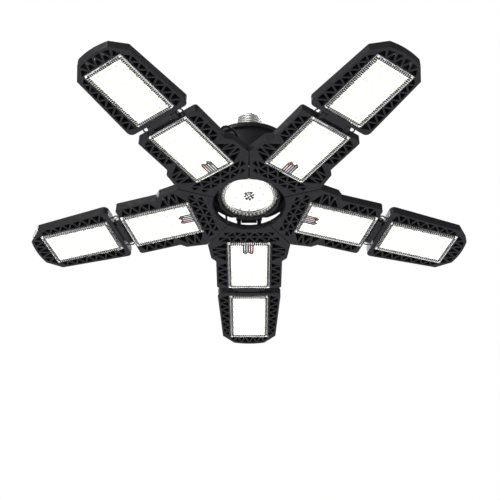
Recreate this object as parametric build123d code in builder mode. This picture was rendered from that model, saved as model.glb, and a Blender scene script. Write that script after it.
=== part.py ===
from build123d import *
from math import asin, cos, degrees, hypot, pi, radians, sin, sqrt, tan
import os

# A folding ceiling lamp that screws into a lamp socket: a round hub with a centre
# light, and five arms, each of an inner and an outer light panel on hinges.
# Sizes are in millimetres. The origin is on the screw shell's axis, at the middle
# of its straight stretch, and +Z points up into the socket.

os.makedirs("parts", exist_ok=True)

# Heights are given above the LED faces of the panels, and level() turns one into Z.
led_depth = 107.5


def level(height):
    return height - led_depth


# Arms
arm_count = 5
first_arm_angle = 18.0
arm_pitch = 360 / arm_count
half_sector = arm_pitch / 2
sector_slope = tan(radians(half_sector))
seam_half_gap = 0.5

# Panel thickness, common to both panels of an arm
front_face = -0.8
back_face = 8.8
back_skin = 1.6
rim_wall = 2.0
back_chamfer = 1.2
bar = 1.7

# Boards and clear covers
board_thickness = 1.2
cover_front = -2.4
cover_wall = 0.8
cover_fit = 0.05
cavity_ledge = 2.2

# Inner panel outline, from the hub outwards
root_radius = 35.2
shoulder_start = 57.6
shoulder_end = (77.8, 38.4)
waist = (82.8, 33.6)
inner_end = 125.6
inner_corner = 3.0
inner_board_start = 55.0
inner_board_end = 123.7
inner_board_half = 20.9

# Outer panel outline
outer_start = 134.4
outer_half_start = 33.4
outer_corner = 5.0
outer_taper_end = (209.6, 29.0)
outer_tip_corner = (222.4, 16.8)
outer_tip = 224.4
outer_board_start = 140.0
outer_board_end = 209.6
outer_board_half = 19.8

# Hinge between the hub and an inner panel
inner_pivot = (38.6, 16.6)
inner_lug_half = 7.6
inner_arm_gap = 0.4
inner_arm_width = 4.0
inner_barrel_radius = 3.8

# Hinge between the two panels
outer_pivot = (130.0, 3.2)
outer_barrel_half = 11.6
outer_lug_gap = 0.4
outer_lug_width = 4.0
outer_barrel_radius = 3.6
pin_radius = 1.5
pin_play = 0.05
pin_overhang = 0.9

# Hub
drum_radius = 44.8
drum_bottom = 21.0
drum_top = 60.5
drum_wall = 2.0
facet_apothem = 41.0
facet_lean = 6.5
drum_floor = 2.0
carrier_radius = 35.4
carrier_bottom = 18.4
lamp_radius = 30.0
lamp_front = 7.4
lamp_led_level = 14.9
lamp_board_radius = 24.8
flange_radius = 47.0
flange_top = 66.5
cone_foot = (42.6, 65.1)
cone_head = (15.6, 92.5)
neck_radius = 14.4
neck_top = 98.5
vent_count = 20

# Screw base, size E26
shell_radius = 13.1
shell_wall = 0.6
shell_bottom = 98.5
shell_shoulder = 116.5
shell_top = 120.1
shell_mouth = 9.8
insulator_top = 124.5
contact_radius = 4.8
contact_top = 127.1

# Cables
cable_radius = 1.1
cable_exit_angle = 24.0
cable_exit_height = 40.0
cable_gland = (55.0, 11.5)
wire_radius = 0.6


def on_arms(part, name):
    """Write one copy of an arm's piece for each arm."""
    for number in range(arm_count):
        angle = first_arm_angle + number * arm_pitch
        piece = part.rotate(Axis.Z, angle)
        piece.label = f"{name}_{number + 1}"
        export_step(piece, f"parts/{piece.label}.step")


def save(part, name):
    part.label = name
    export_step(part, f"parts/{name}.step")


def few_sided(radius, sides=8):
    """A regular outline with as much area as a circle, for small round pieces."""
    RegularPolygon(radius * sqrt(2 * pi / (sides * sin(2 * pi / sides))), sides)


def clipped(length, width, corner):
    """A rectangle with its corners cut off."""
    along = length / 2
    across = width / 2
    quarter = [(along - corner, across), (along, across - corner)]
    right = [(x, -y) for x, y in quarter] + quarter[::-1]
    Polygon(*right, *[(-x, -y) for x, y in right], align=None)


def between(start, end, share):
    return (start[0] + (end[0] - start[0]) * share, start[1] + (end[1] - start[1]) * share)


def inset(corners, gap):
    """Shrink a triangle towards the centre of its inner circle, by gap on each side."""
    sides = [hypot(b[0] - c[0], b[1] - c[1]) for b, c in zip(corners[1:] + corners[:1], corners[2:] + corners[:2])]
    around = sum(sides)
    centre = [sum(s * p[i] for s, p in zip(sides, corners)) / around for i in (0, 1)]
    (ax, ay), (bx, by), (cx, cy) = corners
    area = abs((bx - ax) * (cy - ay) - (cx - ax) * (by - ay)) / 2
    keep = 1 - gap * around / (2 * area)
    return [(centre[0] + (x - centre[0]) * keep, centre[1] + (y - centre[1]) * keep) for x, y in corners]


def zigzag(near, far, bays):
    """Triangles of a zigzag truss between two lines, each line given by its two ends."""
    feet = [between(*near, i / bays) for i in range(bays + 1)]
    heads = [between(*far, (i + 0.5) / bays) for i in range(bays)]
    upright = [[feet[i], feet[i + 1], heads[i]] for i in range(bays)]
    hanging = [[heads[i], heads[i + 1], feet[i + 1]] for i in range(bays - 1)]
    return upright + hanging


def mirrored(triangles):
    return triangles + [[(x, -y) for x, y in corners] for corners in triangles]


# Screw shell: a thin metal sleeve, its thread left out
with BuildPart() as screw_shell:
    with BuildSketch(Plane.XZ) as shell_section:
        with BuildLine():
            Polyline(
                (shell_radius, level(shell_bottom)),
                (shell_radius, level(shell_shoulder)),
                (shell_mouth + 0.8, level(shell_top)),
                (shell_mouth, level(shell_top)),
                (shell_mouth, level(shell_top) - shell_wall),
                (shell_radius - shell_wall, level(shell_shoulder) - 0.4),
                (shell_radius - shell_wall, level(shell_bottom)),
                close=True,
            )
        make_face()
    revolve(axis=Axis.Z)
save(screw_shell.part, "screw_shell")

# Insulator: a cone that closes the shell and carries the tip contact
with BuildPart() as base_insulator:
    with BuildSketch(Plane.XZ) as insulator_section:
        with BuildLine():
            Polyline(
                (0, level(shell_top) - 2.0),
                (shell_mouth - 1.0, level(shell_top) - 2.0),
                (shell_mouth, level(shell_top) - shell_wall),
                (shell_mouth, level(shell_top)),
                (contact_radius + 1.2, level(insulator_top) - 0.8),
                (contact_radius + 0.2, level(insulator_top)),
                (0, level(insulator_top)),
                close=True,
            )
        make_face()
    revolve(axis=Axis.Z)
save(base_insulator.part, "base_insulator")

with BuildPart() as contact_button:
    with BuildSketch(Plane.XZ) as contact_section:
        with BuildLine():
            Line((0, level(insulator_top)), (contact_radius, level(insulator_top)))
            Line((contact_radius, level(insulator_top)), (contact_radius, level(insulator_top) + 0.8))
            TangentArc(
                (0, level(contact_top)), (contact_radius, level(insulator_top) + 0.8), tangent=(1, 0)
            )
            Line((0, level(contact_top)), (0, level(insulator_top)))
        make_face()
    revolve(axis=Axis.Z)
save(contact_button.part, "contact_button")

# Heat cap: a ribbed cone with vents between the ribs, a rim flange and a neck
cap_wall = 2.4
spigot_radius = shell_radius - shell_wall
skirt_radius = drum_radius - drum_wall - 0.1
skirt_depth = 3.0
vent_inner = (19.0, 0.55)
vent_outer = (37.6, 1.7)
cap_hole_angle = 306.0
cap_hole_radius = 1.9

with BuildPart() as heat_cap:
    with BuildSketch(Plane.XZ) as cap_section:
        with BuildLine():
            Polyline(
                (skirt_radius - cap_wall, level(drum_top) - skirt_depth),
                (skirt_radius, level(drum_top) - skirt_depth),
                (skirt_radius, level(drum_top)),
                (flange_radius, level(drum_top)),
                (flange_radius, level(flange_top) - 0.8),
                (flange_radius - 0.8, level(flange_top)),
                (flange_radius - 2.6, level(flange_top)),
                (flange_radius - 3.2, level(cone_foot[1])),
                (cone_foot[0], level(cone_foot[1])),
                (cone_head[0], level(cone_head[1])),
                (neck_radius, level(cone_head[1]) + 1.6),
                (neck_radius, level(neck_top)),
                (spigot_radius, level(neck_top)),
                (spigot_radius, level(neck_top) + 5.0),
                (spigot_radius - cap_wall, level(neck_top) + 5.0),
                (spigot_radius - cap_wall, level(cone_head[1]) - 1.0),
                (skirt_radius - cap_wall, level(cone_foot[1]) - 2.2),
                close=True,
            )
        make_face()
    revolve(axis=Axis.Z)
    with BuildSketch(Plane.XY.offset(level(drum_top))) as vents:
        with PolarLocations(0, vent_count, start_angle=180 / vent_count):
            Polygon(
                (vent_inner[0], -vent_inner[1]),
                (vent_outer[0], -vent_outer[1]),
                (vent_outer[0], vent_outer[1]),
                (vent_inner[0], vent_inner[1]),
                align=None,
            )
    extrude(amount=cone_head[1] - drum_top, mode=Mode.SUBTRACT)
    with BuildSketch(Plane.XY.offset(level(drum_top))) as cap_hole:
        with PolarLocations(cone_foot[0] - 2.2, 1, start_angle=cap_hole_angle):
            Circle(cap_hole_radius)
    extrude(amount=cone_head[1] - drum_top, mode=Mode.SUBTRACT)
save(heat_cap.part, "heat_cap")


def facet_plane(arm_angle, inwards):
    """A flat that leans in towards the drum's foot, over one arm's hinge."""
    angle = radians(arm_angle)
    lean = radians(facet_lean)
    reach = facet_apothem - inwards / cos(lean)
    return Plane(
        origin=(reach * cos(angle), reach * sin(angle), level(drum_bottom)),
        z_dir=(cos(angle) * cos(lean), sin(angle) * cos(lean), -sin(lean)),
    )


arm_angles = [first_arm_angle + number * arm_pitch for number in range(arm_count)]

# The drum's hollow, cut from it below
with BuildPart() as drum_hollow:
    with BuildSketch(Plane.XY.offset(level(drum_bottom + drum_floor))):
        Circle(drum_radius - drum_wall)
    extrude(amount=drum_top - drum_bottom - drum_floor)
    for arm_angle in arm_angles:
        split(bisect_by=facet_plane(arm_angle, drum_wall), keep=Keep.BOTTOM)

# Drum: a round wall with five flats, open at the top, with posts for the driver board
post_circle = 23.0
post_radius = 2.4
post_height = 6.0
with BuildPart() as drum:
    with BuildSketch(Plane.XY.offset(level(drum_bottom))):
        Circle(drum_radius)
    extrude(amount=drum_top - drum_bottom)
    for arm_angle in arm_angles:
        split(bisect_by=facet_plane(arm_angle, 0), keep=Keep.BOTTOM)
    add(drum_hollow.part, mode=Mode.SUBTRACT)
    with BuildSketch(Plane.XY.offset(level(drum_bottom + drum_floor))):
        with PolarLocations(post_circle, 4, start_angle=45):
            few_sided(post_radius, 6)
    extrude(amount=post_height)
    for arm_angle in arm_angles:
        exit_angle = radians(arm_angle + cable_exit_angle)
        exit_plane = Plane(
            origin=(0, 0, level(cable_exit_height)),
            x_dir=(-sin(exit_angle), cos(exit_angle), 0),
            z_dir=(cos(exit_angle), sin(exit_angle), 0),
        )
        with BuildSketch(exit_plane):
            few_sided(cable_radius + 0.9)
        extrude(amount=drum_radius + 1, mode=Mode.SUBTRACT)
save(drum.part, "drum")

# Grommets in the drum wall, one for each cable, in one group
with BuildPart() as cable_grommets:
    for arm_angle in arm_angles:
        exit_angle = radians(arm_angle + cable_exit_angle)
        grommet_plane = Plane(
            origin=(
                (drum_radius - drum_wall) * cos(exit_angle),
                (drum_radius - drum_wall) * sin(exit_angle),
                level(cable_exit_height),
            ),
            x_dir=(-sin(exit_angle), cos(exit_angle), 0),
            z_dir=(cos(exit_angle), sin(exit_angle), 0),
        )
        with BuildSketch(grommet_plane.offset(-0.4)):
            few_sided(cable_radius + 0.9)
        extrude(amount=drum_wall + 0.4)
        with BuildSketch(grommet_plane.offset(drum_wall)):
            few_sided(cable_radius + 1.7)
        extrude(amount=1.0)
save(cable_grommets.part, "cable_grommets")

# Hinge carrier: a plate under the drum with one lug for each arm
screw_circle = 32.9
screw_radius = 1.4
lug_root = 31.6
with BuildPart() as hinge_carrier:
    with BuildSketch(Plane.XY.offset(level(carrier_bottom))):
        Circle(carrier_radius)
    extrude(amount=drum_bottom - carrier_bottom)
    for arm_angle in arm_angles:
        side = Plane.XZ.rotated((0, 0, arm_angle))
        with BuildSketch(side):
            with Locations((inner_pivot[0], level(inner_pivot[1]))):
                Circle(inner_barrel_radius)
            Polygon(
                (lug_root, level(carrier_bottom)),
                (carrier_radius - 1.0, level(inner_pivot[1] - inner_barrel_radius)),
                (inner_pivot[0], level(inner_pivot[1] - inner_barrel_radius)),
                (inner_pivot[0], level(drum_bottom)),
                (lug_root, level(drum_bottom)),
                align=None,
            )
        extrude(amount=inner_lug_half, both=True)
        with BuildSketch(side):
            with Locations((inner_pivot[0], level(inner_pivot[1]))):
                Circle(pin_radius)
        extrude(amount=inner_lug_half + 1, both=True, mode=Mode.SUBTRACT)
    with BuildSketch(Plane.XY.offset(level(carrier_bottom))):
        with PolarLocations(screw_circle, arm_count, start_angle=first_arm_angle + half_sector):
            few_sided(screw_radius)
    extrude(amount=drum_bottom - carrier_bottom, mode=Mode.SUBTRACT)
save(hinge_carrier.part, "hinge_carrier")

inner_arm_outside = inner_lug_half + inner_arm_gap + inner_arm_width
with BuildPart() as inner_hinge_pins:
    for arm_angle in arm_angles:
        side = Plane.XZ.rotated((0, 0, arm_angle))
        with BuildSketch(side):
            with Locations((inner_pivot[0], level(inner_pivot[1]))):
                Circle(pin_radius)
        extrude(amount=inner_arm_outside + pin_overhang, both=True)
save(inner_hinge_pins.part, "inner_hinge_pins")

# Centre light: a shallow housing, a round board and a clear cap
lamp_rim = 1.0
with BuildPart() as lamp_housing:
    with BuildSketch(Plane.XY.offset(level(carrier_bottom))):
        Circle(lamp_radius + 0.1 + lamp_rim)
    extrude(amount=lamp_led_level + board_thickness - carrier_bottom)
    with BuildSketch(Plane.XY.offset(level(lamp_led_level + board_thickness))):
        Circle(lamp_radius + 0.1 + lamp_rim)
        Circle(lamp_radius + 0.1, mode=Mode.SUBTRACT)
    extrude(amount=-2.6)
save(lamp_housing.part, "lamp_housing")

with BuildPart() as center_led_board:
    with BuildSketch(Plane.XY.offset(level(lamp_led_level))):
        Circle(lamp_board_radius)
    extrude(amount=board_thickness)
save(center_led_board.part, "center_led_board")

lamp_cover_wall = 1.6
with BuildPart() as center_lens:
    with BuildSketch(Plane.XZ) as lens_section:
        with BuildLine():
            Polyline(
                (0, level(lamp_front)),
                (lamp_radius - 1.2, level(lamp_front)),
                (lamp_radius, level(lamp_front) + 1.2),
                (lamp_radius, level(lamp_led_level + board_thickness)),
                (lamp_radius - lamp_cover_wall, level(lamp_led_level + board_thickness)),
                (lamp_radius - lamp_cover_wall, level(lamp_front) + lamp_cover_wall),
                (0, level(lamp_front) + lamp_cover_wall),
                close=True,
            )
        make_face()
    revolve(axis=Axis.Z)
save(center_lens.part, "center_lens")

# Driver: a round board on the drum's posts, with a transformer and capacitors
driver_level = drum_bottom + drum_floor + post_height
driver_radius = 31.0
with BuildPart() as driver_board:
    with BuildSketch(Plane.XY.offset(level(driver_level))):
        Circle(driver_radius)
    extrude(amount=1.6)
save(driver_board.part, "driver_board")

with BuildPart() as driver_transformer:
    with BuildSketch(Plane.XY.offset(level(driver_level + 1.6))):
        with Locations((-9, 0)):
            Rectangle(18, 22)
    extrude(amount=13)
    with BuildSketch(Plane.XY.offset(level(driver_level + 4.6))):
        with Locations((-9, 0)):
            Rectangle(22, 17)
    extrude(amount=8)
save(driver_transformer.part, "driver_transformer")

with BuildPart() as driver_capacitors:
    with BuildSketch(Plane.XY.offset(level(driver_level + 1.6))):
        with Locations((12, 9), (12, -9)):
            few_sided(5.0)
    extrude(amount=18)
save(driver_capacitors.part, "driver_capacitors")

with BuildPart() as housing_screws:
    with BuildSketch(Plane.XY.offset(level(carrier_bottom))):
        with PolarLocations(screw_circle, arm_count, start_angle=first_arm_angle + half_sector):
            few_sided(screw_radius)
    extrude(amount=drum_bottom - carrier_bottom)
    with BuildSketch(Plane.XY.offset(level(carrier_bottom))):
        with PolarLocations(screw_circle, arm_count, start_angle=first_arm_angle + half_sector):
            few_sided(screw_radius + 0.2)
    extrude(amount=-1.2)
save(housing_screws.part, "housing_screws")

# Inner panel, drawn on the arm that points along +X
root_corner_angle = half_sector - degrees(asin(seam_half_gap / root_radius))
root_corner = (
    root_radius * cos(radians(root_corner_angle)),
    root_radius * sin(radians(root_corner_angle)),
)
seam_offset = seam_half_gap / cos(radians(half_sector))
shoulder_corner = (shoulder_start, shoulder_start * sector_slope - seam_offset)
cover_edge = cover_wall + cover_fit

inner_length = inner_board_end - inner_board_start
inner_middle = (inner_board_start + inner_board_end) / 2
outer_length = outer_board_end - outer_board_start
outer_middle = (outer_board_start + outer_board_end) / 2

# Truss bays of the inner panel: side strips, shoulders and the wedge at the root
strip_inside = inner_board_half + cover_edge + 0.6
strip_outside = waist[1] - rim_wall + bar / 2
side_strip = zigzag(
    ((waist[0] + 2, strip_inside), (inner_end - rim_wall, strip_inside)),
    ((waist[0] + 2, strip_outside), (inner_end - rim_wall, strip_outside)),
    4,
)
shoulder = zigzag(
    ((inner_board_start - 1, strip_inside), (waist[0] + 1, strip_inside)),
    ((shoulder_corner[0] + 1.5, shoulder_corner[1] - 3.2), (shoulder_end[0], shoulder_end[1] - 2.4)),
    3,
)
wedge_rows = (38.4, 45.6, inner_board_start - cover_edge - 0.6)


def wedge_half_width(radius):
    return radius * sector_slope - seam_offset - rim_wall / cos(radians(half_sector)) + bar / 2


def wedge_row(start, end, bays):
    near = ((start, -wedge_half_width(start)), (start, wedge_half_width(start)))
    far = ((end, -wedge_half_width(end)), (end, wedge_half_width(end)))
    return zigzag(near, far, bays)


wedge = wedge_row(wedge_rows[0], wedge_rows[1], 5) + wedge_row(wedge_rows[1], wedge_rows[2], 6)
inner_pockets = mirrored(side_strip) + mirrored(shoulder) + wedge
see_through = 1.6
inner_windows = mirrored([shoulder[1], shoulder[2], shoulder[4], wedge[4]])
oval_places = ((101.5, 27.0), (119.0, 27.0))
oval_size = (6.5, 3.0, 1.1)

with BuildPart() as inner_frame:
    with BuildSketch(Plane.XY.offset(level(front_face))) as inner_outline:
        with BuildLine() as inner_edge:
            upper = Polyline(
                root_corner,
                shoulder_corner,
                shoulder_end,
                waist,
                (inner_end - inner_corner, waist[1]),
            )
            corner = TangentArc(upper @ 1, (inner_end, waist[1] - inner_corner), tangent=(1, 0))
            Line(corner @ 1, (inner_end, 0))
            mirror(about=Plane.XZ)
            ThreePointArc(root_corner, (root_radius, 0), (root_corner[0], -root_corner[1]))
        make_face()
    extrude(amount=back_face - front_face)
    chamfer(faces().sort_by(Axis.Z)[-1].edges(), back_chamfer)
    # the root's back slopes down towards the hub
    with BuildSketch(Plane.XZ) as root_slope:
        Polygon(
            (root_radius - 8, level(back_face) - 2.8),
            (root_radius, level(back_face) - 2.8),
            (root_radius + 5, level(back_face) + 0.1),
            (root_radius - 8, level(back_face) + 0.1),
            align=None,
        )
    revolve(axis=Axis.Z, mode=Mode.SUBTRACT)
    # recess for the board and its cover, and the hollow behind the board
    with BuildSketch(Plane.XY.offset(level(front_face))):
        with Locations((inner_middle, 0)):
            Rectangle(inner_length + 2 * cover_edge, 2 * (inner_board_half + cover_edge))
    extrude(amount=board_thickness - front_face, mode=Mode.SUBTRACT)
    with BuildSketch(Plane.XY.offset(level(board_thickness))):
        with Locations((inner_middle, 0)):
            Rectangle(inner_length - 2 * cavity_ledge, 2 * (inner_board_half - cavity_ledge))
    extrude(amount=back_face - back_skin - board_thickness, mode=Mode.SUBTRACT)
    with BuildSketch(Plane.XY.offset(level(front_face))):
        for corners in inner_pockets:
            Polygon(*inset(corners, bar / 2), align=None)
    extrude(amount=back_face - back_skin - front_face, mode=Mode.SUBTRACT)
    with BuildSketch(Plane.XY.offset(level(back_face))):
        for corners in inner_windows:
            Polygon(*inset(corners, see_through), align=None)
        for along, across in oval_places:
            with Locations((along, across), (along, -across)):
                clipped(*oval_size)
    extrude(amount=-back_skin, mode=Mode.SUBTRACT)
    # raised pad and ribs on the back
    with BuildSketch(Plane.XY.offset(level(back_face))):
        with Locations((inner_middle + 2, 0)):
            clipped(60, 38, 5)
    extrude(amount=0.8)
    with BuildSketch(Plane.XY.offset(level(back_face + 0.8))):
        with Locations((inner_middle + 2, 0)):
            with GridLocations(0, 6.4, 1, 5):
                Rectangle(52, 2.2)
    extrude(amount=0.9)
    # arms that rise to the hub's hinge pin
    for direction in (1, -1):
        arm_start = direction * (inner_lug_half + inner_arm_gap)
        with BuildSketch(Plane.XZ.offset(-arm_start)):
            with Locations((inner_pivot[0], level(inner_pivot[1]))):
                Circle(inner_barrel_radius)
            Polygon(
                (inner_pivot[0] - inner_barrel_radius, level(inner_pivot[1])),
                (root_radius + 1.2, level(back_face) - 2.9),
                (root_radius + 11.0, level(back_face) - 0.4),
                (inner_pivot[0] + inner_barrel_radius, level(inner_pivot[1])),
                align=None,
            )
        extrude(amount=-direction * inner_arm_width)
    with BuildSketch(Plane.XZ):
        with Locations((inner_pivot[0], level(inner_pivot[1]))):
            Circle(pin_radius + pin_play)
    extrude(amount=2 * inner_arm_outside, both=True, mode=Mode.SUBTRACT)
    # lugs of the outer hinge
    for direction in (1, -1):
        lug_start = direction * (outer_barrel_half + outer_lug_gap)
        with BuildSketch(Plane.XZ.offset(-lug_start)):
            with Locations((outer_pivot[0], level(outer_pivot[1]))):
                Circle(outer_barrel_radius)
            Polygon(
                (inner_end - 1.0, level(outer_pivot[1] - 2.6)),
                (outer_pivot[0], level(outer_pivot[1] - outer_barrel_radius)),
                (outer_pivot[0], level(outer_pivot[1] + outer_barrel_radius)),
                (inner_end - 1.0, level(outer_pivot[1] + 3.4)),
                align=None,
            )
        extrude(amount=-direction * outer_lug_width)
    with BuildSketch(Plane.XZ):
        with Locations((outer_pivot[0], level(outer_pivot[1]))):
            Circle(pin_radius)
    extrude(amount=2 * outer_barrel_half, both=True, mode=Mode.SUBTRACT)
    # gland for the cable
    with BuildSketch(Plane.XY.offset(level(back_face - 0.8))):
        with Locations(cable_gland):
            few_sided(2.6)
    extrude(amount=2.6)
on_arms(inner_frame.part, "inner_frame")

with BuildPart() as inner_led_board:
    with BuildSketch(Plane.XY.offset(level(0))):
        with Locations((inner_middle, 0)):
            Rectangle(inner_length, 2 * inner_board_half)
    extrude(amount=board_thickness)
on_arms(inner_led_board.part, "inner_led_board")

with BuildPart() as inner_lens:
    with BuildSketch(Plane.XY.offset(level(cover_front))):
        with Locations((inner_middle, 0)):
            Rectangle(inner_length + 2 * cover_wall, 2 * (inner_board_half + cover_wall))
    extrude(amount=board_thickness - cover_front)
    chamfer(faces().sort_by(Axis.Z)[0].edges(), 0.5)
    with BuildSketch(Plane.XY.offset(level(cover_front + cover_wall))):
        with Locations((inner_middle, 0)):
            Rectangle(inner_length, 2 * inner_board_half)
    extrude(amount=board_thickness - cover_front, mode=Mode.SUBTRACT)
on_arms(inner_lens.part, "inner_lens")

# Outer panel: an open truss round the board's tray
outer_strip_inside = outer_board_half + cover_edge + 0.6
outer_side = zigzag(
    ((outer_start + rim_wall + 1, outer_strip_inside), (outer_board_end + 1, outer_strip_inside)),
    (
        (outer_start + rim_wall, outer_half_start - rim_wall + bar / 2),
        (outer_taper_end[0], outer_taper_end[1] - rim_wall + bar / 2),
    ),
    7,
)
tip_inside = outer_board_end + cover_edge + 0.8
tip_outside = outer_tip - rim_wall
outer_oval_places = ((167.0, 25.4), (195.0, 25.4))
outer_tip_bays = [
    [(tip_inside, -12.6), (tip_inside, -4.2), (tip_outside, -8.4)],
    [(tip_inside, -4.2), (tip_inside, 4.2), (tip_outside + 0.6, 0)],
    [(tip_inside, 12.6), (tip_inside, 4.2), (tip_outside, 8.4)],
    [(tip_outside, -8.4), (tip_outside + 0.6, 0), (tip_inside, -4.2)],
    [(tip_outside, 8.4), (tip_outside + 0.6, 0), (tip_inside, 4.2)],
    [(tip_inside, -12.6), (tip_outside, -8.4), (tip_outside - 2.0, -17.4)],
    [(tip_inside, 12.6), (tip_outside, 8.4), (tip_outside - 2.0, 17.4)],
    [(tip_inside, -12.6), (tip_inside - 1.0, -23.2), (tip_outside - 3.0, -17.6)],
    [(tip_inside, 12.6), (tip_inside - 1.0, 23.2), (tip_outside - 3.0, 17.6)],
]

with BuildPart() as outer_frame:
    with BuildSketch(Plane.XY.offset(level(front_face))) as outer_outline:
        with BuildLine() as outer_edge:
            flank = Polyline(
                (outer_start + outer_corner, outer_half_start - 0.2),
                outer_taper_end,
                outer_tip_corner,
            )
            bend = TangentArc(flank @ 0, (outer_start, outer_half_start - outer_corner), tangent=(-1, 0))
            Line(bend @ 1, (outer_start, 0))
            mirror(about=Plane.XZ)
            ThreePointArc(
                outer_tip_corner, (outer_tip, 0), (outer_tip_corner[0], -outer_tip_corner[1])
            )
        make_face()
    extrude(amount=back_face - front_face)
    chamfer(faces().sort_by(Axis.Z)[-1].edges(), back_chamfer)
    with BuildSketch(Plane.XY.offset(level(front_face))):
        with Locations((outer_middle, 0)):
            Rectangle(outer_length + 2 * cover_edge, 2 * (outer_board_half + cover_edge))
    extrude(amount=board_thickness - front_face, mode=Mode.SUBTRACT)
    with BuildSketch(Plane.XY.offset(level(board_thickness))):
        with Locations((outer_middle, 0)):
            Rectangle(outer_length - 2 * cavity_ledge, 2 * (outer_board_half - cavity_ledge))
    extrude(amount=back_face - back_skin - board_thickness, mode=Mode.SUBTRACT)
    with BuildSketch(Plane.XY.offset(level(front_face))):
        for corners in mirrored(outer_side):
            Polygon(*inset(corners, bar / 2), align=None)
    extrude(amount=back_face - back_skin - front_face, mode=Mode.SUBTRACT)
    # openings right through: the bays at the hinge end and the tip, and two ovals a side
    with BuildSketch(Plane.XY.offset(level(front_face))):
        for corners in mirrored(outer_side[:1]) + outer_tip_bays:
            Polygon(*inset(corners, bar / 2), align=None)
    extrude(amount=back_face - front_face, mode=Mode.SUBTRACT)
    with BuildSketch(Plane.XY.offset(level(back_face))):
        for along, across in outer_oval_places:
            with Locations((along, across), (along, -across)):
                clipped(*oval_size)
    extrude(amount=-back_skin, mode=Mode.SUBTRACT)
    with BuildSketch(Plane.XY.offset(level(back_face))):
        with Locations((outer_middle, 0)):
            clipped(62, 36, 5)
    extrude(amount=0.8)
    # two blocks of cooling fins on the back
    with BuildSketch(Plane.XY.offset(level(back_face + 0.8))):
        with Locations((outer_middle, 0)):
            with GridLocations(7.6, 16.5, 6, 2):
                Rectangle(2.2, 13.0)
    extrude(amount=0.9)
    # barrel of the outer hinge
    with BuildSketch(Plane.XZ):
        with Locations((outer_pivot[0], level(outer_pivot[1]))):
            Circle(outer_barrel_radius)
        Polygon(
            (outer_start + 1.0, level(outer_pivot[1] - 2.6)),
            (outer_pivot[0], level(outer_pivot[1] - outer_barrel_radius)),
            (outer_pivot[0], level(outer_pivot[1] + outer_barrel_radius)),
            (outer_start + 1.0, level(outer_pivot[1] + 3.4)),
            align=None,
        )
    extrude(amount=outer_barrel_half, both=True)
    with BuildSketch(Plane.XZ):
        with Locations((outer_pivot[0], level(outer_pivot[1]))):
            Circle(pin_radius + pin_play)
    extrude(amount=2 * outer_barrel_half, both=True, mode=Mode.SUBTRACT)
on_arms(outer_frame.part, "outer_frame")

with BuildPart() as outer_led_board:
    with BuildSketch(Plane.XY.offset(level(0))):
        with Locations((outer_middle, 0)):
            Rectangle(outer_length, 2 * outer_board_half)
    extrude(amount=board_thickness)
on_arms(outer_led_board.part, "outer_led_board")

with BuildPart() as outer_lens:
    with BuildSketch(Plane.XY.offset(level(cover_front))):
        with Locations((outer_middle, 0)):
            Rectangle(outer_length + 2 * cover_wall, 2 * (outer_board_half + cover_wall))
    extrude(amount=board_thickness - cover_front)
    chamfer(faces().sort_by(Axis.Z)[0].edges(), 0.5)
    with BuildSketch(Plane.XY.offset(level(cover_front + cover_wall))):
        with Locations((outer_middle, 0)):
            Rectangle(outer_length, 2 * outer_board_half)
    extrude(amount=board_thickness - cover_front, mode=Mode.SUBTRACT)
on_arms(outer_lens.part, "outer_lens")

outer_lug_outside = outer_barrel_half + outer_lug_gap + outer_lug_width
with BuildPart() as outer_hinge_pin:
    with BuildSketch(Plane.XZ):
        with Locations((outer_pivot[0], level(outer_pivot[1]))):
            Circle(pin_radius)
    extrude(amount=outer_lug_outside + pin_overhang, both=True)
on_arms(outer_hinge_pin.part, "outer_hinge_pin")


def corner_radii(points, name):
    """An arc at each corner as large as its two runs allow, printed for the cable's notes."""
    radii = []
    for before, corner, after in zip(points, points[1:], points[2:]):
        run_in = Vector(corner) - Vector(before)
        run_out = Vector(after) - Vector(corner)
        half_turn = radians(run_in.get_angle(run_out)) / 2
        radii.append(0.45 * min(run_in.length, run_out.length) / tan(half_turn))
    print(name, "arc radii", [round(radius, 1) for radius in radii])
    return radii


def tube(points, radius, sides, name):
    """A tube along straight runs joined by arcs, its round drawn with a few flat sides."""
    with BuildPart() as cable_tube:
        with BuildLine() as route:
            FilletPolyline(*points, radius=corner_radii(points, name))
        with BuildSketch(Plane(origin=route.wires()[0] @ 0, z_dir=route.wires()[0] % 0)):
            few_sided(radius, sides)
        sweep()
    length = route.wires()[0].length
    share = cable_tube.part.volume / (length * pi * radius**2)
    print(name, "length", round(length, 1), "volume share", round(share, 3))
    return cable_tube.part


# Cable from the drum's grommet in an open loop to the gland on the inner panel's back
exit_reach = drum_radius + 1.0
exit_run = 60.0
exit_turn = radians(cable_exit_angle)
cable_points = [
    (exit_reach * cos(exit_turn), exit_reach * sin(exit_turn), level(cable_exit_height)),
    (exit_run * cos(exit_turn), exit_run * sin(exit_turn), level(cable_exit_height)),
    (70.5, 22.0, level(37.0)),
    (69.5, 13.5, level(26.0)),
    (*cable_gland, level(22.5)),
    (*cable_gland, level(back_face + 1.8)),
]
on_arms(tube(cable_points, cable_radius, 6, "cable"), "cable")

# Two thin wires cross the gap at each outer hinge
wire_side = 20.5
wire_level = level(3.0)
wire_bow = 1.7
wire_run = 1.9
wire_points = [
    (inner_end, wire_side, wire_level),
    (inner_end + wire_run, wire_side, wire_level),
    (outer_pivot[0], wire_side + wire_bow, wire_level),
    (outer_start - wire_run, wire_side, wire_level),
    (outer_start, wire_side, wire_level),
]
one_wire = tube(wire_points, wire_radius, 4, "hinge wire")
with BuildPart() as hinge_wires:
    add(one_wire)
    mirror(about=Plane.XZ)
on_arms(hinge_wires.part, "hinge_wires")
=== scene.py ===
from math import cos, pi, radians, sin

import bpy
from mathutils import Matrix, Vector


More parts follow.
